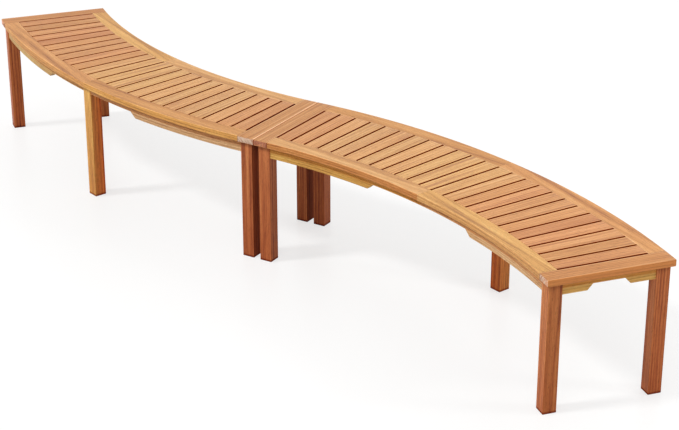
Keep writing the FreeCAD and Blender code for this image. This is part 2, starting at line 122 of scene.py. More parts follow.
def eased_run(start, stop, ease, inner):
    """Stations from start to stop, and how far the outline is drawn in at each: a quarter circle at both
    ends."""
    t = np.linspace(0, np.pi / 2, RIM_STEPS + 1)
    lip, draw = ease * (1 - np.cos(t)), ease * (1 - np.sin(t))
    inner = np.asarray(inner, float)
    inner = inner[(inner > start + JUST_OVER * ease) & (inner < stop - JUST_OVER * ease)]
    stations = np.concatenate([start + lip, inner, (stop - lip)[::-1]])
    return stations, np.concatenate([draw, np.zeros(len(inner)), draw[::-1]])


print("outline of a leg has", rounded(LEG_SIDE / 2, LEG_SIDE / 2, STRIP).shape[1], "points")

# %% Paths
def straight_rows(origin, along, across, up, stations, outline):
    """Outline at each station: origin plus station times along, plus the outline's x across and y up."""
    return origin + stations[:, None, None] * along + outline[..., :1] * across + outline[..., 1:] * up


def arc_rows(radii, angles, heights):
    """Arc centre plus radius times (sin, cos) of the angle, at a height."""
    r, a, z = np.broadcast_arrays(radii, np.radians(angles)[:, None], heights)
    return ARC_CENTRE + np.stack([r * np.sin(a), r * np.cos(a), z], -1)


print("the free end's inner corner is at", arc_rows(INNER_RADIUS, np.array([ARC]), SEAT_HEIGHT).round(3))

# %% [markdown]
# ## From outlines to a mesh
# Quads join neighbouring outlines, and one flat face shuts each end. Blender's Skin or Curve tools would
# make such a tube as well, but whole arrays of points are quicker and keep each board's place exact.

# %% Mesh of a board
# Edges that turn by more degrees than this stay sharp.
SHARP_ANGLE = 40


def skin(rows):
    """Faces of a closed tube: a quad joins neighbouring points of neighbouring rows, and each end row is a
    face."""
    count, size, _ = rows.shape
    i, j = np.meshgrid(np.arange(count - 1) * size, np.arange(size), indexing="ij")
    k = (j + 1) % size
    quads = np.stack([i + j, i + k, i + size + k, i + size + j], -1).reshape(-1, 4)
    ends = np.arange(size)
    return quads.tolist() + [ends[::-1].tolist(), (ends + (count - 1) * size).tolist()]


def closed_mesh(name, rows):
    """Mesh of a closed tube through rows of points, with its faces turned outwards."""
    mesh = bpy.data.meshes.new(name)
    mesh.from_pydata(rows.reshape(-1, 3).tolist(), [], skin(rows))
    shell = bmesh.new()
    shell.from_mesh(mesh)
    bmesh.ops.recalc_face_normals(shell, faces=shell.faces)
    shell.to_mesh(mesh)
    shell.free()
    mesh.polygons.foreach_set("use_smooth", np.ones(len(mesh.polygons), bool))
    mesh.set_sharp_from_angle(angle=np.radians(SHARP_ANGLE))
    return mesh


print("a tube through two squares has", len(skin(np.zeros((2, 4, 3)))), "faces")

# %% [markdown]
# ## A board has a grain and a tint
# Wood is not paint: the figure runs through the board. So every point stores its place in the log that the
# board was cut from, as metres along, across and through the grain. The finishes read that, so faces, edges
# and end grain of a board agree with one another. Other values mark bare end grain, say how near the
# board's long edges a point lies, and how much painted shade lies there. A colour is the board's own tint,
# because no two boards match. It is made paler by a painted highlight on some eased edges, and darker by
# painted shade down in the gaps, at the feet of the legs and on the faces that meet across the seam.

# %% Boards
SEED = 11
# Painted shade: what is left of red, green and blue in the gaps and other shaded places, a dark red-brown.
GAP_SHADE = np.array([0.32, 0.055, 0.004])
# Painted highlight: the factor that makes the upper part of some eased edges pale.
EDGE_HIGHLIGHT = np.array([1.5, 1.9, 2.6])
# How far along, across and through its log a board may lie, and how far its grain may stray in a metre.
LOG_REACH, GRAIN_SLOPE = (9.0, 0.06, 0.05), 0.012
# By how much boards of one tint still differ.
BOARD_LUCK = 0.04
# How bare the ends of a board are in the right and in the left section, from oiled (0) to sanded (1).
USUAL_BARE = (0.3, 0.3)
boards = []


def store(mesh, name, kind, field, values):
    """Gives every point of a mesh a value of its own, under a name that the finishes read."""
    layer = mesh.attributes.new(name, kind, "POINT")
    layer.data.foreach_set(field, np.ascontiguousarray(values, np.float32).ravel())


def make_board(name, node, material, rows, grain, tint, dark=0.0, bare=USUAL_BARE, arris=0.0,
               edge=0.0):
    """Board of the right section, and its twin turned half a turn about the seam for the left one. A place
    in the log is the distance from the grain's origin along its three axes, plus luck. An arris gets a
    painted highlight by a share of its board's bareness, and dark is the share of painted shade."""
    origin, along, across = (np.asarray(value, float) for value in grain)
    axes = np.stack([along, across, np.cross(along, across)], -1)
    dark, arris, edge = (np.broadcast_to(value, rows.shape[:2]) for value in (dark, arris, edge))
    for section, sign, raw in (("right", 1.0, bare[0]), ("left", -1.0, bare[1])):
        luck = np.random.default_rng([SEED, len(boards) // 2])
        place = (rows - origin) @ axes + luck.uniform(-1, 1, 3) * LOG_REACH
        place[..., 1] += place[..., 0] * luck.uniform(-GRAIN_SLOPE, GRAIN_SLOPE)
        end_grain = np.zeros(rows.shape[:2])
        end_grain[[0, -1]] = raw
        painted_highlight = raw * arris[..., None]
        colour = np.ones((*rows.shape[:2], 4))
        colour[..., :3] = np.asarray(tint) * luck.uniform(1 - BOARD_LUCK, 1 + BOARD_LUCK)
        # Paler where a highlight is painted on an arris.
        colour[..., :3] *= 1 + painted_highlight * (EDGE_HIGHLIGHT - 1)
        # Painted shade where dark is set, held off where a highlight is painted.
        colour[..., :3] *= 1 - dark[..., None] * (1 - painted_highlight) * (1 - GAP_SHADE)
        mesh = closed_mesh(f"{section}_{name}", rows * (sign, sign, 1.0))
        store(mesh, "grain", "FLOAT_VECTOR", "vector", place)
        store(mesh, "tint", "FLOAT_COLOR", "color", colour)
        for layer, values in (("end_grain", end_grain), ("edge", edge), ("painted_shade", dark)):
            store(mesh, layer, "FLOAT", "value", values)
        mesh.materials.append(material)
        piece = bpy.data.objects.new(f"{section}_{name}_board", mesh)
        bpy.context.scene.collection.objects.link(piece)
        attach(piece, "root")
        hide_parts(f"{section}_{node}")
        boards.append(piece)


# The gap's factor is painted shade, and the pale factor is a painted highlight.
print("a gap keeps", GAP_SHADE, "of a tint, and sanding makes it", EDGE_HIGHLIGHT, "times as pale")

# %% [markdown]
# ## Colours and nodes
# Colours are picked as sRGB hex codes, as on a screen, but Blender's shaders count in linear light, so one
# function turns them round. Finishes are built from nodes. Adding each by hand takes four or five lines, so
# a second function adds a node with its settings and links at once.

# %% Colour and node helpers
# Places of a Mix node's sockets: the amount, two values, two colours, and the mixed colour among the
# outputs.
AMOUNT, VALUE_A, VALUE_B, COLOUR_A, COLOUR_B, MIXED = 0, 2, 3, 6, 7, 2
MIX = {"data_type": "RGBA"}
MULTIPLY = {"data_type": "RGBA", "blend_type": "MULTIPLY"}


def linear(code):
    """Linear colour from an sRGB hex code: the curve of the sRGB standard undone, channel by channel."""
    srgb = np.array([int(code[i:i + 2], 16) for i in (1, 3, 5)]) / 255
    values = np.where(srgb <= 0.04045, srgb / 12.92, ((srgb + 0.055) / 1.055) ** 2.4)
    return (*values.tolist(), 1.0)


def add(tree, kind, inputs=(), **settings):
    """Adds a node, sets its properties, and gives each named input a value or a link from a socket."""
    node = tree.nodes.new(kind)
    for name, value in settings.items():
        setattr(node, name, value)
    for name, value in dict(inputs).items():
        if isinstance(value, bpy.types.NodeSocket):
            tree.links.new(value, node.inputs[name])
        else:
            node.inputs[name].default_value = value
    return node


print("middle grey #808080 is", round(linear("#808080")[0], 4), "in linear light")

# %% [markdown]
# ## Figure of the timber
# The bench is a plantation hardwood of the acacia and eucalyptus kind. Its figure has three scales: growth
# rings some 9 mm apart, streaks of darker and lighter heartwood about 14 mm wide and half a metre long, and
# fine fibre with short open pores. An image of wood would give this too, but would repeat and show its
# seams. Noise that is stretched along the grain never repeats.

# %% Figure
# Length and width of a mark in metres, and the detail of its noise.
STREAK = ((0.50, 0.014), 5.0)
# Fibre and pores are really some 0.3 mm wide; they are drawn coarser, because finer ones vanish at this
# distance.
FIBRE = ((0.090, 0.0022), 4.0)
PORE = ((0.016, 0.0009), 1.0)
RING_SPACING = 0.009
# A wave texture's rings repeat every 2 pi / 20 units.
RING_SCALE = 2 * np.pi / 20 / RING_SPACING
# Along the log, rings change at this share of their pace across it, and they waver.
RING_SLOWNESS, RING_WAVER = 0.06, {"Distortion": 5.0, "Detail": 2.0, "Detail Scale": 0.7}
RING_SHARE, FIBRE_SHARE = 0.24, 0.44
# Noise under the first limit is an open pore, over the second it is sound wood.
PORE_LIMITS, PORE_DARK = (0.30, 0.42), 0.62


def stretched(size):
    """Mapping scale that makes noise as long and as wide as a (length, width) in metres."""
    return (1 / size[0], 1 / size[1], 1 / size[1])


def wood_figure(tree, place):
    """Sockets of the figure, which mixes streaks, rings and fibre from dark (0) to light (1), of the fibre
    alone, and of a factor that darkens open pores."""
    slow = add(tree, "ShaderNodeMapping", {"Vector": place, "Scale": (RING_SLOWNESS, 1, 1)}).outputs[0]
    rings = add(tree, "ShaderNodeTexWave", {"Vector": slow, "Scale": RING_SCALE, **RING_WAVER},
                wave_type="RINGS", rings_direction="X").outputs["Fac"]
    noises = []
    for size, detail in (STREAK, FIBRE, PORE):
        spread = add(tree, "ShaderNodeMapping", {"Vector": place, "Scale": stretched(size)}).outputs[0]
        noise = add(tree, "ShaderNodeTexNoise", {"Vector": spread, "Scale": 1.0, "Detail": detail})
        noises.append(noise.outputs["Fac"])
    streaks, fibre, pores = noises
    broad = add(tree, "ShaderNodeMix", {AMOUNT: RING_SHARE, VALUE_A: streaks, VALUE_B: rings}).outputs[0]
    figure = add(tree, "ShaderNodeMix", {AMOUNT: FIBRE_SHARE, VALUE_A: broad, VALUE_B: fibre}).outputs[0]
    sound = add(tree, "ShaderNodeMapRange", {"Value": pores, "From Min": PORE_LIMITS[0],
                "From Max": PORE_LIMITS[1], "To Min": PORE_DARK}).outputs[0]
    return figure, fibre, sound


print("growth rings every", RING_SPACING, "m")

# %% [markdown]
# ## Wear, oil, painted shade and end grain
# Four traits are added where a board shows them. Slats and end boards are worn pale along their edges, and
# right beside the gaps between slats the oil leaves a warm rim. Aprons are painted a deeper red high up,
# which is painted shade under the seat's overhang. Bare end grain is pale and crossed by slanted rays. One
# big node tree could hold all four, but each trait is a function that takes a colour and gives it back
# changed, so that a finish can name the ones it needs.

# %% Traits
# Wear, and the oil beside a gap, start and are full at these shares of a board's half width.
WORN, WORN_AMOUNT, WORN_COLOUR = (0.82, 0.91), 0.36, "#F2C894"
OILY, RIM_OIL = (0.91, 0.95), (1.0, 0.86, 0.30, 1.0)
# Painted shade under the seat's overhang: heights between which it sets in, and the factor that it leaves.
OVERHANG_SHADE_BAND = (TOP_UNDERSIDE - 0.022, TOP_UNDERSIDE - 0.017)
OVERHANG_SHADE = (1.0, 0.77, 0.60, 1.0)
# Rays on end grain are under 1 mm wide, and are drawn as wide as the picture can show.
RAY, RAY_SLANT, RAY_DETAIL = (0.030, 0.005), np.radians(40), 2.0
# Noise between these limits makes end grain less or more bare, by these factors.
RAY_LIMITS, RAY_BARE = (0.35, 0.65), (0.4, 1.3)


def near_edge(tree, limits, most=1.0):
    """Amount that grows from 0 to most while a point's place across its board passes two limits."""
    place = add(tree, "ShaderNodeAttribute", attribute_name="edge").outputs["Fac"]
    share = add(tree, "ShaderNodeMath", {0: place}, operation="ABSOLUTE").outputs[0]
    return add(tree, "ShaderNodeMapRange", {"Value": share, "From Min": limits[0], "From Max": limits[1],
               "To Max": most}).outputs[0]


def worn_edges(tree, colour):
    """Mixes the worn colour in towards a board's long edges."""
    return add(tree, "ShaderNodeMix", {AMOUNT: near_edge(tree, WORN, WORN_AMOUNT), COLOUR_A: colour,
               COLOUR_B: linear(WORN_COLOUR)}, **MIX).outputs[MIXED]


def oily_rims(tree, colour):
    """Multiplies by the oil's colour at the very edges."""
    return add(tree, "ShaderNodeMix", {AMOUNT: near_edge(tree, OILY), COLOUR_A: colour, COLOUR_B: RIM_OIL},
               **MULTIPLY).outputs[MIXED]


def shaded_under_seat(tree, colour):
    """Multiplies by a red colour above a height: painted shade under the seat's overhang."""
    world_place = add(tree, "ShaderNodeTexCoord").outputs["Object"]
    height = add(tree, "ShaderNodeSeparateXYZ", {"Vector": world_place}).outputs["Z"]
    shade_share = add(tree, "ShaderNodeMapRange", {"Value": height, "From Min": OVERHANG_SHADE_BAND[0],
                  "From Max": OVERHANG_SHADE_BAND[1]}).outputs[0]
    return add(tree, "ShaderNodeMix", {AMOUNT: shade_share, COLOUR_A: colour, COLOUR_B: OVERHANG_SHADE},
               **MULTIPLY).outputs[MIXED]


def bare_ends(tree, colour, place, end_colour):
    """Mixes the end colour in by the stored bareness times slanted, stretched noise."""
    rays = add(tree, "ShaderNodeMapping", {"Vector": place, "Rotation": (RAY_SLANT, 0, 0),
               "Scale": (1, RAY[1], RAY[0])}, vector_type="TEXTURE").outputs[0]
    noise = add(tree, "ShaderNodeTexNoise", {"Vector": rays, "Scale": 1.0, "Detail": RAY_DETAIL})
    share = add(tree, "ShaderNodeMapRange", {"Value": noise.outputs["Fac"], "From Min": RAY_LIMITS[0],
                "From Max": RAY_LIMITS[1], "To Min": RAY_BARE[0], "To Max": RAY_BARE[1]}).outputs[0]
    bare = add(tree, "ShaderNodeAttribute", attribute_name="end_grain").outputs["Fac"]
    bare = add(tree, "ShaderNodeMath", {0: bare, 1: share}, operation="MULTIPLY", use_clamp=True).outputs[0]
    return add(tree, "ShaderNodeMix", {AMOUNT: bare, COLOUR_A: colour, COLOUR_B: linear(end_colour)},
               **MIX).outputs[MIXED]


# Painted shade under the seat's overhang starts at this height.
print("the seat shelters the aprons above", round(OVERHANG_SHADE_BAND[0], 3), "m")

# %% [markdown]
# ## Oiled hardwood
# Planed and oiled timber has a satin skin: the oil has sunk in, so little of it gleams. The figure picks a
# colour from a ramp of four, pores darken it, and the board's tint shifts it. Fibre also roughens and dents
# the skin a little, and the skin is duller where shade is painted. A varnish layer on top would be simple
# to add, but would look like a table indoors.

# %% Oiled hardwood
# Oil that has sunk in leaves only part of the gleam of a varnish, which would be 0.5.
GLEAM, WOOD_IOR = 0.15, 1.45
PLANED, SAWN = 0.48, 0.7
# How much smoother and rougher the fibre makes the skin, and how much rougher it is where shade is painted.
SMOOTHER, ROUGHER, SHADE_ROUGHER = 0.08, 0.10, 0.5
RELIEF, RELIEF_DEPTH = 0.35, 0.0004
# The figure takes the first colour up to the first value, and the last from the second value on.
FIGURE_SPAN = (0.32, 0.67)


def grain_place(tree, turn):
    """Socket of the stored place in the log or, where a turn is given, of the place in the world turned by
    it about Z."""
    if turn is None:
        return add(tree, "ShaderNodeAttribute", attribute_name="grain").outputs["Vector"]
    world_place = add(tree, "ShaderNodeTexCoord").outputs["Object"]
    return add(tree, "ShaderNodeMapping", {"Vector": world_place,
               "Rotation": (0, 0, -np.radians(turn))}).outputs[0]


def oiled_wood(name, colours, end_colour=None, roughness=PLANED, turn=None, traits=()):
    """Timber whose figure runs through colours from dark to light. Boards have a grain, a tint and painted
    shade of their own; a turn stands in for them on CAD solids, as the grain's angle from X."""
    material = bpy.data.materials.new(name)
    material.use_nodes = True
    tree = material.node_tree
    shader = tree.nodes["Principled BSDF"]
    place = grain_place(tree, turn)
    figure, fibre, sound = wood_figure(tree, place)
    ramp = add(tree, "ShaderNodeValToRGB", {"Fac": figure})
    stops = ramp.color_ramp.elements
    for _ in colours[2:]:
        stops.new(sum(FIGURE_SPAN) / 2)
    for stop, position, code in zip(stops, np.linspace(*FIGURE_SPAN, len(colours)), colours):
        stop.position = position
        stop.color = linear(code)
    colour = add(tree, "ShaderNodeMix", {AMOUNT: 1.0, COLOUR_A: ramp.outputs["Color"], COLOUR_B: sound},
                 **MULTIPLY).outputs[MIXED]
    for trait in traits:
        colour = trait(tree, colour)
    rough = add(tree, "ShaderNodeMapRange", {"Value": fibre, "To Min": roughness - SMOOTHER,
                "To Max": roughness + ROUGHER}).outputs[0]
    if turn is None:
        tint = add(tree, "ShaderNodeAttribute", attribute_name="tint").outputs["Color"]
        colour = add(tree, "ShaderNodeMix", {AMOUNT: 1.0, COLOUR_A: colour, COLOUR_B: tint},
                     **MULTIPLY).outputs[MIXED]
        painted_shade = add(tree, "ShaderNodeAttribute", attribute_name="painted_shade").outputs["Fac"]
        rough = add(tree, "ShaderNodeMath", {0: painted_shade, 1: SHADE_ROUGHER, 2: rough},
                    operation="MULTIPLY_ADD").outputs[0]
    if end_colour:
        colour = bare_ends(tree, colour, place, end_colour)
    height = add(tree, "ShaderNodeMath", {0: fibre, 1: sound}, operation="MULTIPLY").outputs[0]
    relief = add(tree, "ShaderNodeBump", {"Height": height, "Strength": RELIEF, "Distance": RELIEF_DEPTH})
    for socket, value in (("Base Color", colour), ("Roughness", rough), ("Normal", relief.outputs[0])):
        tree.links.new(value, shader.inputs[socket])
    shader.inputs["IOR"].default_value = WOOD_IOR
    shader.inputs["Specular IOR Level"].default_value = GLEAM
    return material


print("roughness of the planed wood is about", PLANED, "and of the sawn wood", SAWN)

# %% [markdown]
# ## Five finishes
# One kind of timber serves for the whole bench, but each sort of piece comes from other boards and is worn
# in another way. So each sort has a finish of its own, with its colours from dark to light.

# %% Finishes
# Planed seat slats: a warm, satin tan with fine streaks, pale where use has rubbed the edges.
slat_wood = oiled_wood("oiled hardwood, slats", ["#AA7456", "#C79464", "#D5A371", "#E2B686"],
                       traits=(worn_edges, oily_rims))
# Planed rails and end boards: more golden, with bold streaks, and a pale pinkish beige on bare end grain.
rail_wood = oiled_wood("oiled hardwood, rails", ["#9B684A", "#C48E5B", "#D59F68", "#E3B57E"], "#E8CAB0",
                       traits=(worn_edges,))
# Legs of dense heartwood: a red-brown with dark stripes.
leg_wood = oiled_wood("oiled hardwood, legs", ["#7F3E2A", "#B56539", "#C77643", "#D98D56"])
# Aprons of younger wood: golden yellow, with red-brown painted shade just under the seat.
apron_wood = oiled_wood("oiled hardwood, aprons", ["#A46B3E", "#CF9957", "#E1AC66", "#EDC17C"],
                        traits=(shaded_under_seat,))
# Sawn inner timber, as it came from the saw: a dull and dry brown.
sawn_wood = oiled_wood("sawn hardwood, inside", ["#8C5A34", "#A8744A", "#B98658", "#C69668"],
                       roughness=SAWN, turn=90 - MIDDLE)
print("finishes:", [material.name for material in bpy.data.materials if "hardwood" in material.name])

# %% [markdown]
# ## Tints of single boards
# In the photograph the boards differ. Slats near the middle of a section lean to honey, those of the free
# half to rose and tawny with a single russet one, as if two logs had been used. A tint is a factor on red,
# green and blue, and slats between the named places take one between, with a little luck added. A colour
# for each slat would do as well, but it would be a long list.

# %% Tints
HONEY, TAN, ROSE = (1.06, 1.06, 0.96), (1.02, 0.98, 0.94), (1.0, 0.88, 0.82)
RUSSET, BRICK, TAWNY = (0.90, 0.73, 0.70), (0.90, 0.79, 0.73), (0.96, 0.85, 0.78)
# Slats with a tint of their own, counted from the seam.
LOG = {0: BRICK, 3: TAN, 8: HONEY, 12: HONEY, 14: ROSE, 18: TAWNY, 19: RUSSET, 20: TAWNY, 23: BRICK}
# Luck of a few per cent, drawn from seeds that no board uses.
SLAT_LUCK, SLAT_SEEDS = 0.025, 1000


def log_tint(index):
    """Tint of a slat: channel by channel between the named slats, times luck."""
    luck = np.random.default_rng([SEED, SLAT_SEEDS + index])
    named = np.array(list(LOG.values()))
    between = np.array([np.interp(index, list(LOG), channel) for channel in named.T])
    return between * luck.uniform(1 - SLAT_LUCK, 1 + SLAT_LUCK, 3)


print("tint of the first slat:", log_tint(0).round(3))

# %% [markdown]
# ## The fan of slats
# Each slat is a straight board that tapers towards the hollow side, so that the gaps between slats keep one
# width although the seat is curved. Its half width is the radius times the tangent of half the pitch, less
# half a gap. A tongue at both ends sits in the groove of a rail. One slat could be copied round the arc,
# but then all would show the same grain, so each is a board of its own.

# %% Outline of a slat
PITCH = (ARC - 2 * END_BOARD_ANGLE - np.degrees(SLAT_GAP / MID_RADIUS)) / SLATS
TAPER = np.tan(np.radians(PITCH / 2))
SLAT_CLEARANCE, SLAT_EASE, SLAT_STATIONS = 0.0004, 0.0010, 8
TONGUE_HALF, TONGUE_TALL, TONGUE_REACH, TONGUE_EASE = 0.020, 0.004, 0.0096, 0.0003
TONGUE_STATIONS = 2
# A slat's outer corners lie this far from its middle line, and they keep clear of the rail's curve.
SLAT_OUTER_HALF = 0.029
slat_low = INNER_RADIUS + RAIL_WIDTH + SLAT_CLEARANCE
slat_high = np.sqrt((OUTER_RADIUS - RAIL_WIDTH) ** 2 - SLAT_OUTER_HALF ** 2) - SLAT_CLEARANCE


def slat_outline():
    """Stations and outlines of a slat, with two more stations at either end for its tongue."""
    run, draw = eased_run(slat_low, slat_high, SLAT_EASE, np.linspace(slat_low, slat_high, SLAT_STATIONS))
    half, tall = run * TAPER - SLAT_GAP / 2 - draw, TOP_THICKNESS / 2 - draw
    ease = np.full(len(run), SLAT_EASE)
    tongues = ((half, TONGUE_HALF), (tall, TONGUE_TALL), (ease, TONGUE_EASE))
    half, tall, ease = (np.pad(values, TONGUE_STATIONS, constant_values=end) for values, end in tongues)
    run = np.concatenate([[run[0] - TONGUE_REACH, run[0]], run, [run[-1], run[-1] + TONGUE_REACH]])
    return run, rounded(half, tall, ease)


stations, outline = slat_outline()
print("a slat is", round(2 * outline[..., 0].max(), 4), "m wide at its outer end")

# %% Slats
SEAT_MIDDLE = ARC_CENTRE + UP * (SEAT_HEIGHT - TOP_THICKNESS / 2)
SLATS_IN_NODE = 6
# Rows of points on the tongues and at the foot of the shoulders, which the grooves keep in the dark; they
# get painted shade.
GROOVE_ROWS = [0, 1, 2, -3, -2, -1]
slat_edge = outline[..., 0] / outline[..., 0].max(1, keepdims=True)
# Painted shade on a slat's sides and eased edges, down in the gaps.
reach = np.abs(outline[..., 0])
slat_dark = (reach > reach.max(1, keepdims=True) - JUST_OVER * SLAT_EASE).astype(float)
slat_dark[GROOVE_ROWS] = 1.0
for index in range(SLATS):
    angle = MIDDLE + (index - (SLATS - 1) / 2) * PITCH
    rows = straight_rows(SEAT_MIDDLE, outward(angle), onward(angle), UP, stations, outline)
    grain = (SEAT_MIDDLE, outward(angle), onward(angle))
    make_board(f"slat_{index + 1:02d}", f"slats_{index // SLATS_IN_NODE + 1}", slat_wood,
               rows, grain, log_tint(index), slat_dark, edge=slat_edge)
print("slats:", len(boards), "pitch", round(PITCH, 4), "degrees")

# %% [markdown]
# ## Curved rails
# A rail is sawn from a wide straight plank, so its edges curve while its grain runs straight along the
# chord. Each rail is two halves that butt at the middle of the section. The outline has a groove on the
# slats' side, which a rounded rectangle lacks, so it is laid out corner by corner. The sawn outer edge
# drinks more oil than the planed top and is tinted apart from it. A bevelled curve object could carry the
# outline as well, but its points would have no place in the plank.

# %% Outline of a rail
GROOVE_DEPTH, GROOVE_HALF = 0.010, 0.0042
EDGE_EASE, SLAT_SIDE_EASE = 0.0022, 0.0012


def rail_outline():
    """Distance in from the seat's edge, and height: two eased corners, the groove, two eased corners."""
    low, high, mid = TOP_UNDERSIDE, SEAT_HEIGHT, SEAT_HEIGHT - TOP_THICKNESS / 2
    e, s, w = EDGE_EASE, SLAT_SIDE_EASE, RAIL_WIDTH
    groove = [(w, mid - GROOVE_HALF), (w - GROOVE_DEPTH, mid - GROOVE_HALF),
              (w - GROOVE_DEPTH, mid + GROOVE_HALF), (w, mid + GROOVE_HALF)]
    return np.concatenate([corner(e, low + e, e, 180), corner(w - s, low + s, s, 270), groove,
                           corner(w - s, high - s, s, 0), corner(e, high - e, e, 90)])


inset, level = rail_outline().T
print("outline of a rail has", len(inset), "points")

# %% Painted highlight and shade of a rail
# Painted highlight: shares of a rail's bareness that pale its upper edges, beside the slats and outside,
# and the share of the eased edge that they take up. Its side below, beside the slats, gets painted shade.
SLAT_SIDE_HIGHLIGHT, OUTSIDE_HIGHLIGHT, ARRIS_SHARE = 1.4, 0.8, 0.8
slat_side = inset > RAIL_WIDTH - JUST_OVER * SLAT_SIDE_EASE
outside = inset < ARRIS_SHARE * EDGE_EASE
rail_dark = slat_side * (level < SEAT_HEIGHT - SLAT_SIDE_EASE)
rail_arris = SLAT_SIDE_HIGHLIGHT * slat_side * (level > SEAT_HEIGHT - ARRIS_SHARE * SLAT_SIDE_EASE)
rail_arris += OUTSIDE_HIGHLIGHT * outside * (level > SEAT_HEIGHT - ARRIS_SHARE * EDGE_EASE)
# Points that get a painted highlight.
print("points of a rail's outline that are sanded:", np.count_nonzero(rail_arris))

# %% Rails
# Where each end starts and which way its angles run, and where each edge lies and which way is inwards.
ENDS = {"seam": (0.0, 1.0), "free": (ARC, -1.0)}
EDGES = {"inner": (INNER_RADIUS, 1.0), "outer": (OUTER_RADIUS, -1.0)}
RAIL_TINTS = {("seam", "inner"): (1.01, 1.04, 1.06), ("free", "inner"): (1.04, 1.09, 0.95),
              ("seam", "outer"): (0.92, 0.86, 0.79), ("free", "outer"): (0.99, 0.92, 0.89)}
EDGE_TINTS = {("seam", "inner"): (1.04, 0.80, 0.59), ("free", "inner"): (1.16, 1.12, 0.97),
              ("seam", "outer"): (1.28, 1.22, 0.84), ("free", "outer"): (1.24, 1.14, 0.92)}
# Degrees that keep a joint visible, and degrees of a short last step, which keeps the end's shading flat.
RAIL_HAIRLINE, RAIL_LAST_STEP, RAIL_STATIONS = 0.004, 0.01, 60
# Places in a plank are measured from a point this far out along the radius from the rail's edge.
PLANK_SHIFT = 0.015
first, last = END_BOARD_ANGLE + RAIL_HAIRLINE, MIDDLE - RAIL_HAIRLINE
turns = np.concatenate([[first, first + RAIL_LAST_STEP], np.linspace(first, last, RAIL_STATIONS)[1:-1],
                        [last - RAIL_LAST_STEP, last]])
for end, (start, sense) in ENDS.items():
    for side, (edge, inwards) in EDGES.items():
        angles = start + sense * turns
        chord = angles.mean()
        plank = (ARC_CENTRE + (edge + PLANK_SHIFT) * outward(chord), onward(chord), outward(chord))
        tint = np.where((inset < EDGE_EASE / 2)[:, None], EDGE_TINTS[end, side], RAIL_TINTS[end, side])
        name = f"{end}_{side}_rail"
        rows = arc_rows(edge + inwards * inset, angles, level)
        make_board(name, name, rail_wood, rows, plank, tint, rail_dark, arris=rail_arris)
print("boards so far:", len(boards))

# %% [markdown]
# ## End boards
# A full-width board closes each end of a section and shows end grain on the seat's long edges. It is cut a
# little wider towards the bulging side, in line with the fan. Some ends are bare and pale from sanding, and
# others have drunk oil and gone red. Where the two sections meet, the barer board's eased edge gets a fine
# painted highlight, beside the seam's painted shade. A pale strip laid on top would be simpler, but it
# would float above the wood.

# %% Outline of an end board
END_EASE, END_RIM, END_STATIONS = 0.0016, 0.002, 12
# The painted highlight fades out over this much of the faces beside an edge, so the strip there is wider.
SEAM_HIGHLIGHT_FADE = 0.0055
# Share of the eased edge, from the top down, that the painted highlight covers.
HIGHLIGHT_SHARE = 0.7
half_wedge = np.tan(np.radians(END_BOARD_ANGLE / 2))
run, draw = eased_run(INNER_RADIUS, OUTER_RADIUS, END_RIM,
                      np.linspace(INNER_RADIUS, OUTER_RADIUS, END_STATIONS))
outline = rounded(run * half_wedge - draw, TOP_THICKNESS / 2 - draw, END_EASE, SEAM_HIGHLIGHT_FADE)
end_edge = outline[..., 0] / outline[..., 0].max(1, keepdims=True)
seam_side = outline[..., 0] < (END_EASE * JUST_OVER - run * half_wedge)[:, None]
seam_arris = seam_side & (outline[..., 1] > TOP_THICKNESS / 2 - HIGHLIGHT_SHARE * END_EASE)
sawn_edge = np.abs(outline[..., :1]) > (run * half_wedge - END_EASE / 2)[:, None, None]
print("an end board is", round(2 * outline[..., 0].max(), 4), "m wide at its outer end")

# %% End boards
END_TINTS = {"seam": (0.84, 0.77, 0.77), "free": (0.86, 0.75, 0.71)}
# How bare each board is in the right and in the left section.
END_BARE = {"seam": (0.20, 1.0), "free": (0.8, 0.4)}
# Factors on the tint of the long sawn edges, and of the two ends.
END_EDGE_OIL, SAWN_END = np.array([1.28, 0.97, 0.68]), (1.60, 1.20, 1.05)
# How dark the painted shade makes the two edges at the seam.
SEAM_SHADE = 0.75


def gap_side(reach):
    """How far a point of an end board lies in a gap, which sets its painted shade: 0 on the faces, and 1
    from halfway across the eased edge."""
    return np.clip((reach - reach.max(1, keepdims=True) + END_EASE) * 2 / END_EASE, 0, 1)


# Painted shade at the seam, held off where a highlight is painted on the barer board's arris.
seam_depth = np.maximum(gap_side(-outline[..., 0]), seam_arris)
for end, (start, sense) in ENDS.items():
    angle = start + sense * END_BOARD_ANGLE / 2
    rows = straight_rows(SEAT_MIDDLE, outward(angle), onward(angle), UP, run, outline)
    tint = np.where(sawn_edge, END_EDGE_OIL, 1.0) * END_TINTS[end]
    tint[[0, -1]] *= SAWN_END
    at_seam = end == "seam"
    # Painted shade on the side beside the slats, and at the seam.
    dark = gap_side(sense * outline[..., 0]) + SEAM_SHADE * seam_depth * at_seam
    name = f"{end}_end_board"
    grain = (SEAT_MIDDLE, outward(angle), onward(angle))
    make_board(name, name, rail_wood, rows, grain, tint, dark, END_BARE[end],
               seam_arris * at_seam, end_edge)
print("boards so far:", len(boards))

# %% [markdown]
# ## Legs
# Square posts with lightly eased corners, redder than the seat and more so towards the floor. Five carry a
# section: one at each corner, and one under the middle of the bulging side. The middle one's outer face is
# golden sapwood, and its face towards the free end shows some too. The last few millimetres of the feet get
# painted shade where they stand on the floor, and so do the faces that meet across the seam. A plain cube
# would do for a post, but it has no rows of points along it to hold these tints.

# %% Outline of a leg
LEG_EASE, FOOT_EASE, LEG_LEVELS = 0.0014, 0.0015, 6
# Painted shade: its height at the foot and how dark it is there, and how dark it makes the faces that meet
# at the seam.
FOOT_SHADE_HEIGHT, FOOT_SHADE, SLOT_SHADE = 0.010, 0.7, 0.52
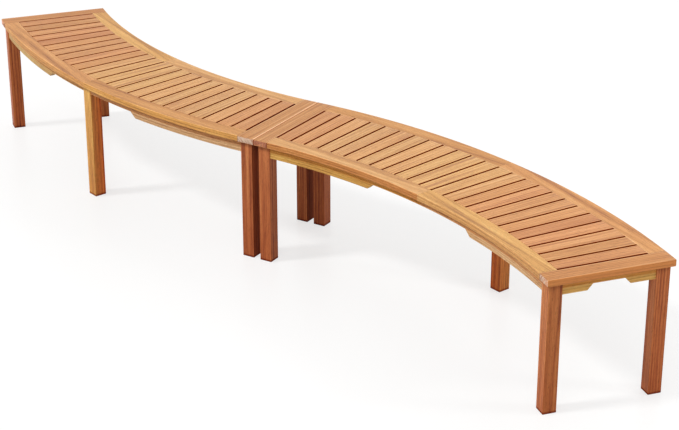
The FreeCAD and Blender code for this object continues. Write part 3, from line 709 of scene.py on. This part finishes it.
# Factors on the tint at the top and at the foot of a leg.
LEG_TOP, LEG_FOOT = np.array([1.11, 1.22, 1.28]), np.array([0.91, 0.81, 0.77])
levels = np.concatenate([[FOOT_SHADE_HEIGHT / 2, FOOT_SHADE_HEIGHT], np.linspace(0.0, TOP_UNDERSIDE, LEG_LEVELS)[1:]])
run, draw = eased_run(0.0, TOP_UNDERSIDE, FOOT_EASE, levels)
post = rounded(LEG_SIDE / 2 - draw, LEG_SIDE / 2 - draw, LEG_EASE)
# The painted shade at the foot ends between the two lowest levels.
foot_shade = FOOT_SHADE * (run < (levels[0] + levels[1]) / 2)[:, None]
slot_shade = SLOT_SHADE * (post[..., 0] < LEG_EASE / 2 - LEG_SIDE / 2)
deepening = LEG_FOOT + (LEG_TOP - LEG_FOOT) * (run / TOP_UNDERSIDE)[:, None, None]
print("rows of points along a leg:", len(run))

# %% Legs
LEG_END_INSET, LEG_SIDE_INSET, MIDDLE_LEG_INSET = 0.013, 0.010, 0.012
LEG_TINTS = {"seam_inner_leg": (1.01, 0.96, 1.03), "seam_outer_leg": (0.98, 0.91, 0.96),
             "free_inner_leg": (1.07, 1.09, 1.11), "free_outer_leg": (1.08, 0.99, 1.03),
             "middle_leg": (1.55, 1.12, 0.78)}
SAPWOOD, SIDE_SAPWOOD = np.array([1.42, 2.2, 1.85]), 0.45
# Sapwood sets in at this share of a leg's side from its middle, and is full a little further out.
SAPWOOD_START, SAPWOOD_BLEND = 0.40, 0.08
near_face = np.clip(post / LEG_SIDE - SAPWOOD_START, 0, SAPWOOD_BLEND) / SAPWOOD_BLEND
sapwood = np.maximum(near_face[..., 1:], SIDE_SAPWOOD * near_face[..., :1])
# Name, angle, radius and step along the seat of each leg's middle.
spots = [(f"{end}_{side}_leg", start, edge + inwards * (LEG_SIDE_INSET + LEG_SIDE / 2),
          sense * (LEG_END_INSET + LEG_SIDE / 2))
         for end, (start, sense) in ENDS.items() for side, (edge, inwards) in EDGES.items()]
spots.append(("middle_leg", MIDDLE, OUTER_RADIUS - MIDDLE_LEG_INSET - LEG_SIDE / 2, 0.0))
for name, angle, radius, step in spots:
    foot = ARC_CENTRE + radius * outward(angle) + step * onward(angle)
    rows = straight_rows(foot, UP, onward(angle), outward(angle), run, post)
    tint = np.array(LEG_TINTS[name])
    tint = (tint + sapwood * (name == "middle_leg") * (SAPWOOD - tint)) * deepening
    dark = np.maximum(foot_shade, slot_shade * name.startswith("seam"))
    make_board(name, name, leg_wood, rows, (foot, UP, onward(angle)), tint, dark)
print("boards so far:", len(boards))

# %% [markdown]
# ## Aprons
# The aprons under the seat are deep beside the legs, then a bevel lifts their lower edge to a shallow
# strip. The height of that edge is read off a line through the corners of the bevel, station by station. A
# boolean cut would do too, but the line keeps the eased edge unbroken round the bevel. The aprons differ in
# colour, from golden to pale tan.

# %% Outline of an apron
APRON_THICKNESS, APRON_SETBACK, APRON_EASE = 0.018, 0.004, 0.0012
APRON_DEPTH, STRIP_DEPTH = 0.040, 0.020
APRON_LOW, STRIP_LOW = TOP_UNDERSIDE - APRON_DEPTH, TOP_UNDERSIDE - STRIP_DEPTH


def apron_outline(stations, corners, lows):
    """Rounded board whose lower edge follows a line through the corners, under a level top."""
    low = np.interp(stations, corners, lows)
    outline = rounded(APRON_THICKNESS / 2, (TOP_UNDERSIDE - low) / 2, APRON_EASE)
    outline[..., 1] += ((TOP_UNDERSIDE + low) / 2)[:, None]
    return outline


def with_corners(start, stop, count, corners):
    """Even stations plus the corners that lie between them."""
    inner = [place for place in corners if start < place < stop]
    return np.unique(np.concatenate([np.linspace(start, stop, count), inner]))


print("aprons are", APRON_DEPTH, "m deep beside the legs, and", STRIP_DEPTH, "m in the middle")

# %% Side aprons
CUTOUT_HALF_ANGLE, SIDE_BEVEL, SIDE_STATIONS = 6.33, 0.024, 50
APRON_TINTS = {("seam", "inner"): (1.06, 1.04, 0.80), ("free", "inner"): (1.01, 1.05, 1.50),
               ("seam", "outer"): (1.07, 1.15, 1.75), ("free", "outer"): (1.02, 1.14, 1.3)}
for side, (edge, inwards) in EDGES.items():
    face = edge + inwards * (LEG_SIDE_INSET + APRON_SETBACK)
    radius = face + inwards * APRON_THICKNESS / 2
    leg_angle = np.degrees(np.arcsin((LEG_END_INSET + LEG_SIDE) / (radius - APRON_THICKNESS / 2)))
    stop = MIDDLE if side == "inner" else MIDDLE - np.degrees(np.arcsin(LEG_SIDE / 2 / radius))
    bevel = face * np.sin(np.radians(CUTOUT_HALF_ANGLE)) + np.array([SIDE_BEVEL / 2, -SIDE_BEVEL / 2])
    corners = MIDDLE - np.degrees(np.arcsin(bevel / face))
    turns = with_corners(leg_angle, stop, SIDE_STATIONS, corners)
    outline = apron_outline(turns, corners, [APRON_LOW, STRIP_LOW])
    for end, (start, sense) in ENDS.items():
        angles = start + sense * turns
        chord = angles.mean()
        plank = (ARC_CENTRE + radius * outward(chord), onward(chord), outward(chord))
        name = f"{end}_{side}_apron"
        rows = arc_rows(radius + inwards * outline[..., 0], angles, outline[..., 1])
        make_board(name, name, apron_wood, rows, plank, APRON_TINTS[end, side])
print("boards so far:", len(boards))

# %% [markdown]
# ## End aprons
# Straight boards between the two legs of an end, with a bevel at both sides of the cut-out. The same
# outline function serves, because only the line of the lower edge is new.

# %% End aprons
CUTOUT_HALF, END_BEVEL, END_APRON_STATIONS = 0.0525, 0.018, 12
END_APRON_TINT = (1.18, 1.20, 1.05)
between_legs = (INNER_RADIUS + LEG_SIDE_INSET + LEG_SIDE, OUTER_RADIUS - LEG_SIDE_INSET - LEG_SIDE)
bevel = np.array([CUTOUT_HALF, CUTOUT_HALF + END_BEVEL])
corners = MID_RADIUS + np.concatenate([-bevel[::-1], bevel])
run = with_corners(*between_legs, END_APRON_STATIONS, corners)
outline = apron_outline(run, corners, [APRON_LOW, STRIP_LOW, STRIP_LOW, APRON_LOW])
for end, (start, sense) in ENDS.items():
    base = ARC_CENTRE + sense * (LEG_END_INSET + APRON_SETBACK + APRON_THICKNESS / 2) * onward(start)
    rows = straight_rows(base, outward(start), onward(start), UP, run, outline)
    name = f"{end}_end_apron"
    make_board(name, name, apron_wood, rows, (base, outward(start), UP), END_APRON_TINT)
print("boards in all:", len(boards))

# %% [markdown]
# ## Inside: bearers, corner blocks and fasteners
# These keep their CAD solids, whose shapes are right, and only get finishes. Zinc-plated steel is a metal
# with faint mottling from the plating crystals, some millimetres across. A Voronoi texture gives each
# crystal a grey of its own, which plain noise would smear.

# %% Zinc plate and inner timber
# Zinc-plated steel: bluish grey, half dull, with crystals that catch the light one by one.
ZINC_CRYSTAL, ZINC_ROUGHNESS = 0.003, 0.38
ZINC_DARK, ZINC_LIGHT = "#9EA1A0", "#BFC1BD"
zinc = bpy.data.materials.new("zinc-plated steel")
zinc.use_nodes = True
tree = zinc.node_tree
shader = tree.nodes["Principled BSDF"]
world_place = add(tree, "ShaderNodeTexCoord").outputs["Object"]
crystals = add(tree, "ShaderNodeTexVoronoi", {"Vector": world_place, "Scale": 1 / ZINC_CRYSTAL})
mottle = add(tree, "ShaderNodeMix", {AMOUNT: crystals.outputs["Color"], COLOUR_A: linear(ZINC_DARK),
             COLOUR_B: linear(ZINC_LIGHT)}, **MIX).outputs[MIXED]
tree.links.new(mottle, shader.inputs["Base Color"])
shader.inputs["Metallic"].default_value = 1.0
shader.inputs["Roughness"].default_value = ZINC_ROUGHNESS
inside = {name: node for name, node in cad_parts.items() if not node.hide_render}
for name, node in inside.items():
    for slot in node.material_slots:
        slot.material = zinc if name.endswith(("bolts", "washers")) else sawn_wood
print("CAD nodes kept:", sorted(inside))

# %% [markdown]
# ## Floor and surround
# The photograph is a studio picture on white with faint shadows. A wide floor of smooth white paper keeps
# the shadows and a trace of the feet's reflection. Part of its whiteness is only for the eye: the light
# that the floor and the surround throw on the bench is that of a greyer studio. A brighter lamp would
# whiten the floor too, but it would bleach the timber with it.

# %% Floor
FLOOR_REACH = 40.0
# Smooth studio paper: white with a soft sheen. The grey is what it throws on the bench.
PAPER_GREY, PAPER_WHITE, PAPER_ROUGHNESS = "#ACABAA", "#FAFAF9", 0.3
# Share of the paper's looks that is plain white, whatever falls on it.
PLAIN_SHARE = 0.69
WHITE = (1.0, 1.0, 1.0, 1.0)


def looked_at(tree):
    """1 for rays that look at the backdrop, straight or by a reflection, and 0 for light that falls on the
    bench: the largest of three Light Path values."""
    path = add(tree, "ShaderNodeLightPath").outputs
    seen = path["Is Camera Ray"]
    for ray in ("Is Glossy Ray", "Is Transmission Ray"):
        seen = add(tree, "ShaderNodeMath", {0: seen, 1: path[ray]}, operation="MAXIMUM").outputs[0]
    return seen


square = np.array([(-1, -1, 0), (1, -1, 0), (1, 1, 0), (-1, 1, 0)])
sheet = bpy.data.meshes.new("floor")
sheet.from_pydata((FLOOR_REACH * square).tolist(), [], [(0, 1, 2, 3)])
floor = bpy.data.objects.new("floor", sheet)
bpy.context.scene.collection.objects.link(floor)
paper = bpy.data.materials.new("white studio paper")
paper.use_nodes = True
sheet.materials.append(paper)
tree = paper.node_tree
shader = tree.nodes["Principled BSDF"]
shader.inputs["Roughness"].default_value = PAPER_ROUGHNESS
seen = looked_at(tree)
tone = add(tree, "ShaderNodeMix", {AMOUNT: seen, COLOUR_A: linear(PAPER_GREY),
           COLOUR_B: linear(PAPER_WHITE)}, **MIX).outputs[MIXED]
tree.links.new(tone, shader.inputs["Base Color"])
share = add(tree, "ShaderNodeMath", {0: seen, 1: PLAIN_SHARE}, operation="MULTIPLY").outputs[0]
plain = add(tree, "ShaderNodeEmission", {"Color": WHITE, "Strength": 1.0}).outputs[0]
blend = add(tree, "ShaderNodeMixShader", {0: share, 1: shader.outputs[0], 2: plain}).outputs[0]
tree.links.new(blend, tree.nodes["Material Output"].inputs["Surface"])
print("floor:", floor.name, "of", paper.name)

# %% Surround
# Strength of the light that the surround throws on the bench; to the eye it is white, which is 1.
SURROUND_LIGHT = 0.30
world = bpy.data.worlds.new("white surround")
world.use_nodes = True
tree = world.node_tree
background = tree.nodes["Background"].inputs
background["Color"].default_value = WHITE
glow = add(tree, "ShaderNodeMapRange", {"Value": looked_at(tree), "To Min": SURROUND_LIGHT}).outputs[0]
tree.links.new(glow, background["Strength"])
bpy.context.scene.world = world
print("surround:", world.name)

# %% [markdown]
# ## Lamps
# The shadows tell where the lamps stood. The dark line under the seat's edge and the streaks behind the
# left legs come from a rather crisp lamp at the front left. The streaks that run left from the right legs
# need a softbox close to that end, because only a near lamp fans its shadows out. A wide lamp overhead, a
# little behind the bench, and a weak one from the front fill in. Suns light all of the long bench alike,
# where area lamps would fall off along it.

# %% Lamps
# Each sun: the direction that it shines from, its strength, and its apparent width in degrees.
SUNS = {"key": ((-0.70, -0.68, 1.10), 1.60, 9), "front": ((0.25, -0.80, 0.95), 0.58, 45),
        "overhead": ((0.0, 0.35, 1.0), 0.89, 80)}
SOFTBOX_PLACE, SOFTBOX_AIM = Vector((4.0, 0.6, 2.5)), Vector((1.2, -0.4, 0.4))
SOFTBOX_SIZE, SOFTBOX_WATTS = 0.7, 25.0


def hang(lamp, place, towards):
    """Puts a lamp into the scene, shining against the direction in which it is seen."""
    lamp_object = bpy.data.objects.new(lamp.name, lamp)
    lamp_object.location = place
    lamp_object.rotation_euler = Vector(towards).to_track_quat("Z", "Y").to_euler()
    lamp_object.visible_camera = False
    bpy.context.scene.collection.objects.link(lamp_object)


for name, (towards, strength, spread) in SUNS.items():
    lamp = bpy.data.lights.new(name, "SUN")
    lamp.energy = strength
    lamp.angle = np.radians(spread)
    hang(lamp, (0, 0, 0), towards)
softbox = bpy.data.lights.new("softbox", "AREA")
softbox.shape = "DISK"
softbox.size = SOFTBOX_SIZE
softbox.energy = SOFTBOX_WATTS
hang(softbox, SOFTBOX_PLACE, SOFTBOX_PLACE - SOFTBOX_AIM)
print("lamps:", [lamp.name for lamp in bpy.data.lights])

# %% [markdown]
# ## Camera
# The viewpoint was worked out from the photograph: with the seat at 450 mm, the corners, gaps and feet of
# the bench fix the camera's place, direction and focal length. A long lens keeps the far end nearly as
# large as the near one. Moving the camera by eye would come close too, but never match all of the corners
# at once.

# %% Camera
PICTURE_WIDTH = 679
FOCAL_PIXELS = 1881.5
SENSOR_WIDTH = 36.0
CAMERA_PLACE = (3.3048, -5.1062, 2.8184)
CAMERA_LOOK = (-0.47232, 0.78060, -0.40937)
lens = bpy.data.cameras.new("camera")
lens.sensor_width = SENSOR_WIDTH
lens.lens = SENSOR_WIDTH * FOCAL_PIXELS / PICTURE_WIDTH
camera = bpy.data.objects.new("camera", lens)
camera.location = CAMERA_PLACE
camera.rotation_euler = Vector(CAMERA_LOOK).to_track_quat("-Z", "Y").to_euler()
bpy.context.scene.collection.objects.link(camera)
bpy.context.scene.camera = camera
bpy.context.scene.view_settings.view_transform = "Standard"
print("lens:", round(lens.lens, 2), "mm")

# %% [markdown]
# The dressed bench must be no bigger than the CAD model.

print("the visual box holds", len(boards), "boards and", len(inside), "CAD nodes")
